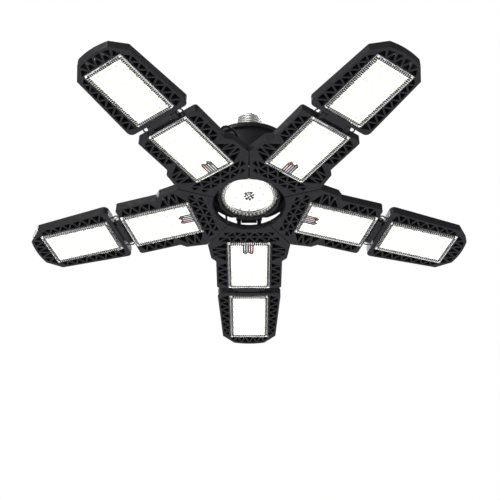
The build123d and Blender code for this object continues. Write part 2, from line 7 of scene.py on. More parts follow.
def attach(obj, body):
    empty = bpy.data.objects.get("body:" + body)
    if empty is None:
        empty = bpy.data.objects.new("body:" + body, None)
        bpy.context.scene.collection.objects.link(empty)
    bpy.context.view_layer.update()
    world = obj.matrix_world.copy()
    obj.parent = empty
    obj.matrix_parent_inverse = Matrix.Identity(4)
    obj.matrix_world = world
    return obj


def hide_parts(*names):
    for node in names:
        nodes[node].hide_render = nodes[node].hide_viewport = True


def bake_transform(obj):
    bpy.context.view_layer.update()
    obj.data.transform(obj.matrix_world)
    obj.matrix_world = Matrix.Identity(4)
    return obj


# Looks of a folding ceiling lamp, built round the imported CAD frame: a round hub with a
# centre light and a screw base, and five arms of two light panels each. Sizes are in
# metres. The origin is at the middle of the screw shell, and +Z points up.

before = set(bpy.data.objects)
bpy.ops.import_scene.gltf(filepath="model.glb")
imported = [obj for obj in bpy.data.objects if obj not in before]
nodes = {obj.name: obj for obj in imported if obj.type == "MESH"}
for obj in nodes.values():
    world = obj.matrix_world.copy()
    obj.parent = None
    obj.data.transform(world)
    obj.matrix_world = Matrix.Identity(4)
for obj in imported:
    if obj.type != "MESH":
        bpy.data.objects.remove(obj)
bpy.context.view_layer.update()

# Driving sizes, the same as the part's own
LED_DEPTH = 0.1075
ARMS = range(1, 6)
FIRST_ARM_ANGLE = 18.0
ARM_PITCH = 72.0
INNER_BOARD = (0.0550, 0.1237, 0.0209)
OUTER_BOARD = (0.1400, 0.2096, 0.0198)
BOARD_THICKNESS = 0.0012
COVER_FRONT = -0.0024
COVER_WALL = 0.0008
CABLE_RADIUS = 0.0011
CABLE_GLAND = (0.0550, 0.0115)
GLAND_TOP = 0.0106
CABLE_EXIT_ANGLE = 24.0
CABLE_EXIT_HEIGHT = 0.0400
DRUM_RADIUS = 0.0448
OUTER_PIVOT_REACH = 0.1300
LAMP_RADIUS = 0.0300
LAMP_FRONT = 0.0074
LAMP_LED_LEVEL = 0.0149

# Signs of the four corners of a rectangle, in order
SQUARE = ((-1, -1), (1, -1), (1, 1), (-1, 1))


def level(height):
    """Z of a height above the LED faces of the panels."""
    return height - LED_DEPTH


def arm_angle(arm):
    """Direction of an arm in degrees."""
    return FIRST_ARM_ANGLE + (arm - 1) * ARM_PITCH


def arm_matrix(arm):
    """Turns a piece drawn on the arm along +X onto one of the five arms."""
    return Matrix.Rotation(radians(arm_angle(arm)), 4, "Z")


class Shader:
    """A Principled material whose pattern nodes are added by short calls."""

    def __init__(self, name, **sockets):
        self.material = bpy.data.materials.new(name)
        self.material.use_nodes = True
        self.tree = self.material.node_tree
        self.bsdf = self.tree.nodes["Principled BSDF"]
        for socket, value in sockets.items():
            self.bsdf.inputs[socket.replace("_", " ")].default_value = value
        self.place = self.node("ShaderNodeTexCoord").outputs["Object"]

    def node(self, kind, inputs=None, **settings):
        made = self.tree.nodes.new(kind)
        for name, value in settings.items():
            setattr(made, name, value)
        for socket, value in (inputs or {}).items():
            if isinstance(value, bpy.types.NodeSocket):
                self.tree.links.new(value, made.inputs[socket])
            else:
                made.inputs[socket].default_value = value
        return made

    def noise(self, scale, detail=4.0, stretch=None):
        place = self.place
        if stretch:
            place = self.node("ShaderNodeMapping", {"Vector": place, "Scale": stretch}).outputs[0]
        inputs = {"Vector": place, "Scale": scale, "Detail": detail}
        return self.node("ShaderNodeTexNoise", inputs).outputs[0]

    def ramp(self, value, *stops):
        """Colours against a value: each stop is a place and a grey or a colour."""
        made = self.node("ShaderNodeValToRGB", {"Fac": value})
        elements = made.color_ramp.elements
        while len(elements) < len(stops):
            elements.new(1.0)
        for element, (position, colour) in zip(elements, stops):
            element.position = position
            grey = isinstance(colour, (int, float))
            element.color = (colour, colour, colour, 1.0) if grey else (*colour, 1.0)
        return made.outputs["Color"]

    def bump(self, height, strength, distance):
        inputs = {"Height": height, "Strength": strength, "Distance": distance}
        return self.node("ShaderNodeBump", inputs).outputs[0]

    def set(self, socket, value):
        self.tree.links.new(value, self.bsdf.inputs[socket])
        return self


def black_plastic(name, shade, grain):
    """Moulded black plastic: fine spark-eroded grain and a little uneven gloss."""
    shader = Shader(name, Specular_IOR_Level=0.36, IOR=1.5)
    patches = shader.noise(140.0, 6.0)
    low, high = (tuple(c * k for c in shade) for k in (0.72, 1.4))
    shader.set("Base Color", shader.ramp(patches, (0.3, low), (0.7, high)))
    shader.set("Roughness", shader.ramp(shader.noise(180.0), (0.3, 0.42), (0.7, 0.58)))
    return shader.set("Normal", shader.bump(shader.noise(grain, 2.0), 0.22, 0.00008)).material


def plated_metal(name, colour, rough, across):
    """Plated metal with fine turning marks around its axis."""
    shader = Shader(name, Metallic=1.0)
    marks = shader.noise(400.0, 3.0, across)
    darker = tuple(c * 0.78 for c in colour)
    shader.set("Base Color", shader.ramp(shader.noise(90.0), (0.35, darker), (0.65, colour)))
    shader.set("Roughness", shader.ramp(marks, (0.3, rough * 0.7), (0.7, rough * 1.4)))
    return shader.set("Normal", shader.bump(marks, 0.12, 0.00005)).material


def vitrite_glass():
    """Dark moulded glass of the base's insulator, with faint flow streaks."""
    shader = Shader("base_glass", Roughness=0.09, Coat_Weight=0.6, Coat_Roughness=0.04)
    streaks = shader.noise(160.0, 3.0, (1.0, 1.0, 0.25))
    shade = shader.ramp(streaks, (0.35, (0.012, 0.008, 0.014)), (0.7, (0.05, 0.035, 0.06)))
    shader.set("Base Color", shade)
    return shader.set("Normal", shader.bump(streaks, 0.1, 0.0001)).material


def lit_board():
    """White solder mask, lit, with faint tracks showing through it."""
    shader = Shader("led_board", Roughness=0.45, Emission_Strength=1.15)
    cells = shader.node("ShaderNodeTexVoronoi", {"Vector": shader.place, "Scale": 210.0})
    tracks = cells.outputs["Distance"]
    mask = shader.ramp(tracks, (0.1, (0.80, 0.80, 0.78)), (0.6, (0.93, 0.93, 0.91)))
    shader.set("Base Color", mask)
    glow = shader.ramp(shader.noise(60.0, 2.0), (0.3, (0.93, 0.94, 0.96)), (0.7, (1.0, 1.0, 0.98)))
    shader.set("Emission Color", glow)
    return shader.set("Normal", shader.bump(tracks, 0.15, 0.0001)).material


def chip_case_and_painted_glint(name, brightness):
    """Off-white moulded plastic lit from within, such as the case round each light chip; also the glowing
    painted glints on the round light's border.
    """
    shader = Shader(name, Roughness=0.5, Emission_Strength=brightness)
    shade = shader.ramp(shader.noise(900.0, 2.0), (0.3, (0.90, 0.92, 0.80)), (0.7, (0.98, 0.98, 0.90)))
    shader.set("Base Color", shade)
    return shader.set("Emission Color", shade).material


def phosphor():
    """Lit phosphor of the chips, faintly yellow."""
    shader = Shader("phosphor", Roughness=0.3, Emission_Strength=0.5)
    glow = shader.ramp(shader.noise(1500.0, 2.0), (0.3, (0.66, 0.70, 0.44)), (0.7, (0.76, 0.80, 0.56)))
    shader.set("Base Color", glow)
    return shader.set("Emission Color", glow).material


def clear_plastic():
    """Clear moulded cover, with faint ripples."""
    shader = Shader("clear_cover", Roughness=0.03, IOR=1.49, Transmission_Weight=1.0)
    shader.set("Base Color", shader.ramp(shader.noise(80.0), (0.3, 0.93), (0.7, 1.0)))
    return shader.set("Normal", shader.bump(shader.noise(260.0, 2.0), 0.12, 0.0001)).material


def sleeve(name, colour, rough=0.5, scale=500.0):
    """Extruded or dipped plastic, such as cable sleeves and capacitor covers."""
    shader = Shader(name, Specular_IOR_Level=0.45)
    grain = shader.noise(scale, 3.0)
    darker = tuple(c * 0.7 for c in colour)
    shader.set("Base Color", shader.ramp(grain, (0.3, darker), (0.7, colour)))
    shader.set("Roughness", shader.ramp(grain, (0.3, rough * 0.8), (0.7, rough * 1.2)))
    return shader.set("Normal", shader.bump(grain, 0.2, 0.0001)).material


def circuit_board():
    """Green board with lighter copper tracks under the mask."""
    shader = Shader("circuit_board", Roughness=0.4)
    cells = shader.node("ShaderNodeTexBrick", {"Vector": shader.place, "Scale": 160.0}).outputs["Fac"]
    shader.set("Base Color", shader.ramp(cells, (0.2, (0.012, 0.09, 0.035)), (0.8, (0.03, 0.19, 0.07))))
    return shader.set("Normal", shader.bump(cells, 0.3, 0.0001)).material


PLASTIC = black_plastic("black_housing", (0.0118, 0.0112, 0.0135), 2600.0)
SHELL_METAL = plated_metal("shell_metal", (0.80, 0.79, 0.76), 0.22, (0.05, 0.05, 1.0))
CONTACT_METAL = plated_metal("contact_metal", (0.62, 0.60, 0.54), 0.36, (1.0, 1.0, 1.0))
STEEL = plated_metal("steel_pin", (0.40, 0.40, 0.42), 0.30, (1.0, 1.0, 0.2))
GLASS = vitrite_glass()
BOARD = lit_board()
CHIP = chip_case_and_painted_glint("chip_case_and_painted_glint", 1.0)
# Painted glints: small glowing blocks for where the round cover's ribs catch the light.
PAINTED_GLINT = chip_case_and_painted_glint("border_painted_glint", 0.4)
PHOSPHOR = phosphor()
CLEAR = clear_plastic()
CIRCUIT = circuit_board()
TAPE = sleeve("transformer_tape", (0.55, 0.40, 0.03), 0.35)
CAPACITOR = sleeve("capacitor_sleeve", (0.015, 0.02, 0.05), 0.3)
RUBBER = sleeve("cable_rubber", (0.014, 0.014, 0.015), 0.5, 900.0)
WIRE = sleeve("wire_sleeve", (0.012, 0.012, 0.013), 0.4, 900.0)
RED_WIRE = sleeve("red_wire", (0.45, 0.02, 0.02), 0.4, 900.0)

SLOT_OF = {
    "screw_shell": "shell_metal", "contact_button": "contact_metal", "base_insulator": "base_glass",
    "heat_cap": "black_housing", "drum": "black_housing", "cable_grommets": "cable_rubber",
    "hinge_carrier": "black_housing", "inner_hinge_pins": "steel_pin", "lamp_housing": "black_housing",
    "center_led_board": "led_board", "center_lens": "clear_cover", "driver_board": "circuit_board",
    "driver_transformer": "transformer_tape", "driver_capacitors": "capacitor_sleeve",
    "housing_screws": "steel_pin", "inner_frame": "black_housing", "outer_frame": "black_housing",
    "inner_led_board": "led_board", "outer_led_board": "led_board", "inner_lens": "clear_cover",
    "outer_lens": "clear_cover", "outer_hinge_pin": "steel_pin", "hinge_wires": "wire_sleeve",
    "cable": "cable_rubber",
}
MATERIAL_OF = {
    "shell_metal": SHELL_METAL, "contact_metal": CONTACT_METAL, "base_glass": GLASS,
    "black_housing": PLASTIC, "led_board": BOARD, "clear_cover": CLEAR, "steel_pin": STEEL,
    "circuit_board": CIRCUIT, "transformer_tape": TAPE, "capacitor_sleeve": CAPACITOR,
    "cable_rubber": RUBBER, "wire_sleeve": WIRE,
}


# Width of the rounding along a node's edges, by its slot
EDGE_ROUNDING = {
    "black_housing": 0.00025, "steel_pin": 0.00015, "base_glass": 0.0004,
    "transformer_tape": 0.0006, "capacitor_sleeve": 0.0006, "contact_metal": 0.0002,
}
SHARPEST_UNROUNDED = radians(35)


def dress_nodes():
    """Every CAD node gets its material, and most get a small rounding along their edges."""
    for name, node in nodes.items():
        family = name if name in SLOT_OF else name.rsplit("_", 1)[0]
        slot = SLOT_OF[family]
        node.data.materials.clear()
        node.data.materials.append(MATERIAL_OF[slot])
        if slot in EDGE_ROUNDING:
            bevel = node.modifiers.new("edge_rounding", "BEVEL")
            bevel.width = EDGE_ROUNDING[slot]
            bevel.segments = 2
            bevel.limit_method = "ANGLE"
            bevel.angle_limit = SHARPEST_UNROUNDED


def mesh_piece(name, vertices, faces, materials, smooth=False, face_materials=None):
    """A mesh object from plain lists of vertices and faces."""
    mesh = bpy.data.meshes.new(name)
    mesh.from_pydata([tuple(v) for v in vertices], [], faces)
    for material in materials if isinstance(materials, list) else [materials]:
        mesh.materials.append(material)
    if face_materials:
        mesh.polygons.foreach_set("material_index", face_materials)
    mesh.polygons.foreach_set("use_smooth", [smooth] * len(faces))
    mesh.update()
    made = bpy.data.objects.new(name, mesh)
    bpy.context.scene.collection.objects.link(made)
    return made


def mount(piece, body, stands_for=()):
    """Puts a piece on its body, and hides the CAD nodes that it replaces."""
    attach(piece, body)
    if stands_for:
        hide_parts(*stands_for)
    return piece


def on_arm(piece, arm, body, stands_for=()):
    """Turns a piece drawn along +X onto its arm, and mounts it there."""
    piece.data.transform(arm_matrix(arm))
    return mount(piece, f"{body}_{arm}", stands_for)


def lathe(profile, steps, radius_change=None):
    """Vertices and faces of a closed profile of (radius, z) turned round the Z axis."""
    vertices, faces = [], []
    for radius, z in profile:
        for step in range(steps):
            turn = 2 * pi * step / steps
            r = radius + (radius_change(turn, radius, z) if radius_change else 0.0)
            vertices.append((r * cos(turn), r * sin(turn), z))
    rows = len(profile)
    for row in range(rows):
        below, above = row * steps, (row + 1) % rows * steps
        for step in range(steps):
            nearby = (step + 1) % steps
            faces.append((below + step, below + nearby, above + nearby, above + step))
    return vertices, faces


def smooth_path(points, name):
    """Points along the smooth curve that has these points as its controls."""
    curve = bpy.data.curves.new(name, "CURVE")
    curve.dimensions = "3D"
    curve.resolution_u = 10
    spline = curve.splines.new("NURBS")
    spline.points.add(len(points) - 1)
    for control, place in zip(spline.points, points):
        control.co = (*place, 1.0)
    spline.order_u = 3
    spline.use_endpoint_u = True
    holder = bpy.data.objects.new(name, curve)
    line = bpy.data.meshes.new_from_object(holder)
    path = [vertex.co.copy() for vertex in line.vertices]
    bpy.data.meshes.remove(line)
    bpy.data.objects.remove(holder)
    bpy.data.curves.remove(curve)
    return path


def tube(path, radius, sides):
    """Vertices and faces of a round tube along a path, with flat ends."""
    vertices, faces = [], []
    side = None
    for index, point in enumerate(path):
        before, after = path[max(index - 1, 0)], path[min(index + 1, len(path) - 1)]
        along = (after - before).normalized()
        if side is None:
            side = along.orthogonal().normalized()
        side = (side - along * side.dot(along)).normalized()
        up = along.cross(side)
        for step in range(sides):
            turn = 2 * pi * step / sides
            vertices.append(point + (side * cos(turn) + up * sin(turn)) * radius)
    for ring in range(len(path) - 1):
        for step in range(sides):
            nearby = (step + 1) % sides
            below, above = ring * sides, (ring + 1) * sides
            faces.append((below + step, below + nearby, above + nearby, above + step))
    faces.append(tuple(reversed(range(sides))))
    faces.append(tuple(range((len(path) - 1) * sides, len(path) * sides)))
    return vertices, faces


def joined(parts):
    """One list of vertices and faces from several."""
    vertices, faces = [], []
    for part_vertices, part_faces in parts:
        first = len(vertices)
        vertices += part_vertices
        faces += [tuple(first + corner for corner in face) for face in part_faces]
    return vertices, faces


CAMERA_PLACE = (0.0009, -0.7501, -0.8196)
CAMERA_TILT = 131.1
LENS = 77.55


def make_camera():
    """A camera at the photo's place: below the lamp, looking up at it."""
    camera = bpy.data.objects.new("camera", bpy.data.cameras.new("camera"))
    camera.data.lens = LENS
    camera.data.sensor_width = 36.0
    camera.location = CAMERA_PLACE
    camera.rotation_euler = (radians(CAMERA_TILT), 0.0, 0.0)
    bpy.context.scene.collection.objects.link(camera)
    bpy.context.scene.camera = camera


# Name, place, side length and power of each soft light
LIGHTS = [
    ("key", (-1.2, 0.3, -0.95), 0.9, 10.0),
    ("fill", (1.3, 0.3, -0.85), 0.9, 6.0),
    ("front", (-0.3, -1.2, -0.5), 0.9, 3.0),
    ("top", (0.1, 0.7, 1.1), 0.9, 26.0),
    ("back", (-0.9, 0.8, 0.6), 0.8, 16.0),
    ("over", (-0.8, -0.8, 1.1), 0.8, 5.0),
]
LIGHT_TARGET = (0.0, 0.0, -0.08)
SURROUND_STRENGTH = 0.2
FLOOR_REACH = 25.0
FLOOR_LEVEL = -2.6
FLOOR_GLOW = 0.36


def area_light(name, place, size, power):
    light = bpy.data.objects.new(name, bpy.data.lights.new(name, "AREA"))
    light.data.shape = "SQUARE"
    light.data.size = size
    light.data.energy = power
    light.location = place
    light.rotation_euler = (Vector(LIGHT_TARGET) - Vector(place)).to_track_quat("-Z", "Y").to_euler()
    bpy.context.scene.collection.objects.link(light)


def make_studio():
    """Soft lights all round, a white surround and a pale floor well below the lamp."""
    world = bpy.data.worlds.new("studio")
    world.use_nodes = True
    bpy.context.scene.world = world
    tree = world.node_tree
    seen = tree.nodes["Background"]
    seen.inputs["Color"].default_value = (1.0, 1.0, 1.0, 1.0)
    fill = tree.nodes.new("ShaderNodeBackground")
    fill.inputs["Color"].default_value = (0.95, 0.97, 1.0, 1.0)
    fill.inputs["Strength"].default_value = SURROUND_STRENGTH
    rays = tree.nodes.new("ShaderNodeLightPath")
    mix = tree.nodes.new("ShaderNodeMixShader")
    tree.links.new(rays.outputs["Is Camera Ray"], mix.inputs[0])
    tree.links.new(fill.outputs[0], mix.inputs[1])
    tree.links.new(seen.outputs[0], mix.inputs[2])
    tree.links.new(mix.outputs[0], tree.nodes["World Output"].inputs["Surface"])

    for light in LIGHTS:
        area_light(*light)

    corners = [(x * FLOOR_REACH, y * FLOOR_REACH, FLOOR_LEVEL) for x, y in SQUARE]
    shader = Shader("floor", Roughness=0.6, Emission_Strength=FLOOR_GLOW)
    shade = shader.ramp(shader.noise(3.0), (0.3, 0.86), (0.7, 0.90))
    shader.set("Base Color", shade)
    shader.set("Emission Color", shade)
    floor = mesh_piece("floor", corners, [(0, 1, 2, 3)], shader.material)


EXIT_REACH = DRUM_RADIUS + 0.001
EXIT_TURN = radians(CABLE_EXIT_ANGLE)

# The route on the arm along +X, as in the part: places along and across the arm, and the level
CABLE_ROUTE = [
    (EXIT_REACH * cos(EXIT_TURN), EXIT_REACH * sin(EXIT_TURN), level(CABLE_EXIT_HEIGHT)),
    (0.0600 * cos(EXIT_TURN), 0.0600 * sin(EXIT_TURN), level(CABLE_EXIT_HEIGHT)),
    (0.0705, 0.0220, level(0.0370)),
    (0.0695, 0.0135, level(0.0260)),
    (*CABLE_GLAND, level(0.0225)),
    (*CABLE_GLAND, level(GLAND_TOP)),
]
CABLE_SIDES = 14

# The hinge wires follow the part's line. Their radius is 0.1 mm more, as they look in the photo
WIRE_RADIUS = 0.0007
WIRE_SIDE = 0.0205
WIRE_BOW = 0.0017
WIRE_RUN = 0.0019
WIRE_LEVEL = level(0.0030)
WIRE_SPAN = (0.1256, 0.1344)
WIRE_SIDES = 10
WIRE_ROUTE = [
    (WIRE_SPAN[0], WIRE_SIDE, WIRE_LEVEL),
    (WIRE_SPAN[0] + WIRE_RUN, WIRE_SIDE, WIRE_LEVEL),
    (OUTER_PIVOT_REACH, WIRE_SIDE + WIRE_BOW, WIRE_LEVEL),
    (WIRE_SPAN[1] - WIRE_RUN, WIRE_SIDE, WIRE_LEVEL),
    (WIRE_SPAN[1], WIRE_SIDE, WIRE_LEVEL),
]


def make_cables():
    """The cable of each arm loops from the drum to the panel's back."""
    for arm in ARMS:
        turn = arm_matrix(arm)
        path = smooth_path([turn @ Vector(point) for point in CABLE_ROUTE], f"route_{arm}")
        vertices, faces = tube(path, CABLE_RADIUS, CABLE_SIDES)
        piece = mesh_piece(f"arm_cable_{arm}", vertices, faces, RUBBER, smooth=True)
        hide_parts(f"cable_{arm}")
        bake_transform(piece)


def make_hinge_wires():
    """Two thin wires bow across each outer hinge."""
    for arm in ARMS:
        turn = arm_matrix(arm)
        wires = []
        for side in (1, -1):
            points = [turn @ Vector((along, side * across, z)) for along, across, z in WIRE_ROUTE]
            wires.append(tube(smooth_path(points, f"wire_{arm}"), WIRE_RADIUS, WIRE_SIDES))
        vertices, faces = joined(wires)
        piece = mesh_piece(f"hinge_wire_pair_{arm}", vertices, faces, WIRE, smooth=True)
        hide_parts(f"hinge_wires_{arm}")
        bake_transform(piece)


# Turned shapes of the boots round a cable, as (radius, place along it)
BOOT_BORE = CABLE_RADIUS + 0.0001
BOOT_FLANGE = [
    (BOOT_BORE, -0.0018), (0.0020, -0.0018), (0.0020, 0.0000), (0.0028, 0.0000), (0.0028, 0.0009),
]
BOOT_RIBS = 3
BOOT_RIB_PITCH = 0.0014
BOOT_END = 0.0052
PANEL_BOOT = [
    (BOOT_BORE, -0.0008), (0.0023, -0.0008), (0.0023, 0.0006), (0.0019, 0.0010), (0.0019, 0.0016),
    (0.0016, 0.0020), (0.0016, 0.0026), (BOOT_BORE, 0.0030),
]
BOOT_STEPS = 24


def boot_at(origin, outward, profile):
    """A turned boot whose axis runs outwards from a point."""
    vertices, faces = lathe(profile, BOOT_STEPS)
    turn = Vector(outward).to_track_quat("Z", "Y").to_matrix().to_4x4()
    place = Matrix.Translation(origin) @ turn
    return [place @ Vector(v) for v in vertices], faces


def make_strain_reliefs():
    """A ribbed boot on each cable at the drum, and one at its gland on the panel."""
    profile = list(BOOT_FLANGE)
    for rib in range(BOOT_RIBS):
        start = 0.0009 + rib * BOOT_RIB_PITCH
        thick = 0.0021 - rib * 0.00025
        profile += [
            (thick, start + 0.0001), (thick, start + 0.0007),
            (thick - 0.0004, start + 0.0008), (thick - 0.0004, start + 0.0013),
        ]
    profile += [(BOOT_BORE, BOOT_END)]
    boots = []
    for arm in ARMS:
        turn = radians(arm_angle(arm) + CABLE_EXIT_ANGLE)
        outward = (cos(turn), sin(turn), 0.0)
        origin = (DRUM_RADIUS * outward[0], DRUM_RADIUS * outward[1], level(CABLE_EXIT_HEIGHT))
        boots.append(boot_at(origin, outward, profile))
    vertices, faces = joined(boots)
    piece = mesh_piece("drum_cable_boots", vertices, faces, RUBBER)
    mount(piece, "hub", ["cable_grommets"])
    for arm in ARMS:
        vertices, faces = boot_at((*CABLE_GLAND, level(GLAND_TOP)), (0, 0, 1), PANEL_BOOT)
        piece = mesh_piece(f"panel_cable_boot_{arm}", vertices, faces, RUBBER)
        on_arm(piece, arm, "inner")


SHELL_RADIUS = 0.0131
SHELL_WALL = 0.0006
SHELL_BOTTOM = 0.0985
SHELL_SHOULDER = 0.1165
SHELL_TOP = 0.1201
SHELL_MOUTH = 0.0098
THREAD_PITCH = 0.00363
THREAD_DEPTH = 0.0011
SHELL_RINGS = 72
SHELL_STEPS = 96


def make_screw_shell():
    """Rolled screw shell: a rounded thread that fades out at both ends."""
    low, high = level(SHELL_BOTTOM), level(SHELL_SHOULDER)

    def thread(turn, radius, z):
        if radius < SHELL_RADIUS - 1.5 * SHELL_WALL or z > high:
            return 0.0
        ends = min(1.0, (z - low) / 0.002, (high - z) / 0.0012)
        wave = 0.5 - 0.5 * cos(2 * pi * ((z - low) / THREAD_PITCH - turn / (2 * pi)))
        return -THREAD_DEPTH * max(ends, 0.0) * wave

    outside = [(SHELL_RADIUS, low + (high - low) * ring / SHELL_RINGS) for ring in range(SHELL_RINGS + 1)]
    shoulder = [
        (SHELL_RADIUS - 0.0003, high + 0.0007),
        (SHELL_MOUTH + 0.0012, level(SHELL_TOP) - 0.0006),
        (SHELL_MOUTH + 0.0006, level(SHELL_TOP) - 0.0001),
        (SHELL_MOUTH, level(SHELL_TOP)),
        (SHELL_MOUTH, level(SHELL_TOP) - SHELL_WALL),
    ]
    inner = SHELL_RADIUS - THREAD_DEPTH - SHELL_WALL
    inside = [(inner, high - 0.0004), (inner, low)]
    vertices, faces = lathe(outside + shoulder + inside, SHELL_STEPS, thread)
    piece = mesh_piece("screw_shell_thread", vertices, faces, SHELL_METAL, smooth=True)
    mount(piece, "hub", ["screw_shell"])


CHIP_SIZE = (0.0035, 0.0028, 0.0007)
CHIP_PITCH = (0.0095, 0.0067)
CHIP_ROWS = 6
CHIP_COLUMNS = 7
LEADS_COLUMN, LEADS_ROWS = 0, (2, 3)
CENTER_CHIP_RINGS = ((0.0222, 16), (0.0135, 9))
PRISM_PITCH = 0.0019
PRISM_HEIGHT = 0.00012
COVER_BORDER = 0.0012


def stepped_block(middle, size, rings, turn=0.0):
    """A block facing down, of square rings of (share of its size, depth). Returns vertices, faces."""
    x, y, z = middle
    wide, long = size
    vertices = []
    for share, depth in rings:
        for sx, sy in SQUARE:
            px, py = sx * wide / 2 * share, sy * long / 2 * share
            along, across = px * cos(turn) - py * sin(turn), px * sin(turn) + py * cos(turn)
            vertices.append((x + along, y + across, z - depth))
    faces = []
    last = 4 * (len(rings) - 1)
    for ring in range(0, last, 4):
        for corner in range(4):
            nearby = (corner + 1) % 4
            faces.append((ring + corner, ring + 4 + corner, ring + 4 + nearby, ring + nearby))
    faces += [tuple(range(last, last + 4)), (3, 2, 1, 0)]
    return vertices, faces


def chip(x, y, z, turn=0.0):
    """One light chip: a case with a sunk bright window, its last face but one."""
    wide, long, deep = CHIP_SIZE
    rings = [(1.0, 0.0), (1.0, deep), (0.78, deep), (0.72, deep * 0.75)]
    return stepped_block((x, y, z), (wide, long), rings, turn)


def block(middle, size, turn=0.0):
    """A block facing down with its front edges cut. Returns vertices, faces."""
    wide, long, deep = size
    return stepped_block(middle, (wide, long), [(1.0, 0.0), (1.0, deep * 0.7), (0.82, deep)], turn)


def chips_piece(name, places):
    parts = [chip(*place) for place in places]
    vertices, faces = joined(parts)
    windows = []
    for _, part_faces in parts:
        sides = len(part_faces) - 2
        windows += [0] * sides + [1, 0]
    return mesh_piece(name, vertices, faces, [CHIP, PHOSPHOR], face_materials=windows)


def make_chips():
    """Rows of light chips on the ten panels' boards, and two rings of them on the round board."""
    for arm in ARMS:
        for body, (start, end, _) in (("inner", INNER_BOARD), ("outer", OUTER_BOARD)):
            middle = (start + end) / 2
            places = []
            for row in range(CHIP_ROWS):
                for column in range(CHIP_COLUMNS):
                    x = middle + (column - (CHIP_COLUMNS - 1) / 2) * CHIP_PITCH[0]
                    y = (row - (CHIP_ROWS - 1) / 2) * CHIP_PITCH[1]
                    at_leads = body == "inner" and column == LEADS_COLUMN and row in LEADS_ROWS
                    if not at_leads:
                        places.append((x, y, level(0.0)))
            on_arm(chips_piece(f"{body}_light_chips_{arm}", places), arm, body)
    places = []
    for radius, count in CENTER_CHIP_RINGS:
        for index in range(count):
            turn = 2 * pi * index / count
            places.append((radius * cos(turn), radius * sin(turn), level(LAMP_LED_LEVEL), turn))
    mount(chips_piece("center_light_chips", places), "hub")


def rectangle_loop(half_x, half_y, steps_x, steps_y):
    """Points round a rectangle, two for each step, in order."""
    count_x, count_y = 2 * steps_x, 2 * steps_y
    across = [(-half_x + 2 * half_x * i / count_x, -half_y) for i in range(count_x)]
    up = [(half_x, -half_y + 2 * half_y * i / count_y) for i in range(count_y)]
    back = [(half_x - 2 * half_x * i / count_x, half_y) for i in range(count_x)]
    down = [(-half_x, half_y - 2 * half_y * i / count_y) for i in range(count_y)]
    return across + up + back + down


def prism_cover(half_x, half_y):
    """A clear cover whose front is a field of small pyramids inside a ribbed wall."""
    front, back = level(COVER_FRONT), level(BOARD_THICKNESS)
    base = front + PRISM_HEIGHT
    field_x, field_y = half_x - COVER_BORDER, half_y - COVER_BORDER
    steps_x, steps_y = round(2 * field_x / PRISM_PITCH), round(2 * field_y / PRISM_PITCH)
    vertices, faces, index = [], [], {}

    def vertex(x, y, z):
        key = (round(x, 7), round(y, 7), round(z, 7))
        if key not in index:
            index[key] = len(vertices)
            vertices.append((x, y, z))
        return index[key]

    def grid(i, j):
        return -field_x + 2 * field_x * i / steps_x, -field_y + 2 * field_y * j / steps_y

    for i in range(steps_x):
        for j in range(steps_y):
            corners = [grid(i, j), grid(i + 1, j), grid(i + 1, j + 1), grid(i, j + 1)]
            middle = grid(i + 0.5, j + 0.5)
            apex = vertex(*middle, front)
            at_edge = (j == 0, i == steps_x - 1, j == steps_y - 1, i == 0)
            for side in range(4):
                a, b = corners[side], corners[(side + 1) % 4]
                face = [apex, vertex(*b, base)]
                if at_edge[side]:
                    face.append(vertex((a[0] + b[0]) / 2, (a[1] + b[1]) / 2, base))
                faces.append((*face, vertex(*a, base)))
    loops = [
        (field_x, field_y, base, 0.0),
        (half_x - 0.0005, half_y - 0.0005, front, 0.0),
        (half_x, half_y, front + 0.0005, 0.0002),
        (half_x, half_y, back, 0.0002),
        (half_x - COVER_WALL, half_y - COVER_WALL, back, 0.0),
        (half_x - COVER_WALL, half_y - COVER_WALL, front + COVER_WALL, 0.0),
    ]
    rings = []
    for loop_x, loop_y, z, rib in loops:
        ring = []
        for number, (x, y) in enumerate(rectangle_loop(loop_x, loop_y, steps_x, steps_y)):
            inward = rib if number % 2 else 0.0
            x -= inward * (1 if x > 0 else -1) if abs(abs(x) - loop_x) < 1e-9 else 0.0
            y -= inward * (1 if y > 0 else -1) if abs(abs(y) - loop_y) < 1e-9 else 0.0
            ring.append(vertex(x, y, z))
        rings.append(ring)
    count = len(rings[0])
    for lower, upper in zip(rings, rings[1:]):
        for number in range(count):
            nearby = (number + 1) % count
            faces.append((lower[number], lower[nearby], upper[nearby], upper[number]))
    faces.append(tuple(reversed(rings[-1])))
    return vertices, faces


def make_covers():
    """The clear cover over each panel's board."""
    for arm in ARMS:
        for body, (start, end, half) in (("inner", INNER_BOARD), ("outer", OUTER_BOARD)):
            half_x = (end - start) / 2 + COVER_WALL
            vertices, faces = prism_cover(half_x, half + COVER_WALL)
            piece = mesh_piece(f"{body}_prism_cover_{arm}", vertices, faces, CLEAR)
            piece.data.transform(Matrix.Translation(((start + end) / 2, 0.0, 0.0)))
            on_arm(piece, arm, body, [f"{body}_lens_{arm}"])


CENTER_RIBS = 90
WINDOW_LEVEL = 0.0092
WINDOW_RADIUS = 0.0235
RING_RADIUS = 0.0281
CENTER_WALL = 0.0012
CENTER_RIB_DEPTH = 0.0005
CENTER_HOLE = 0.0012
FACET_START, FACET_PITCH, FACETS = 0.0030, 0.0018, 11


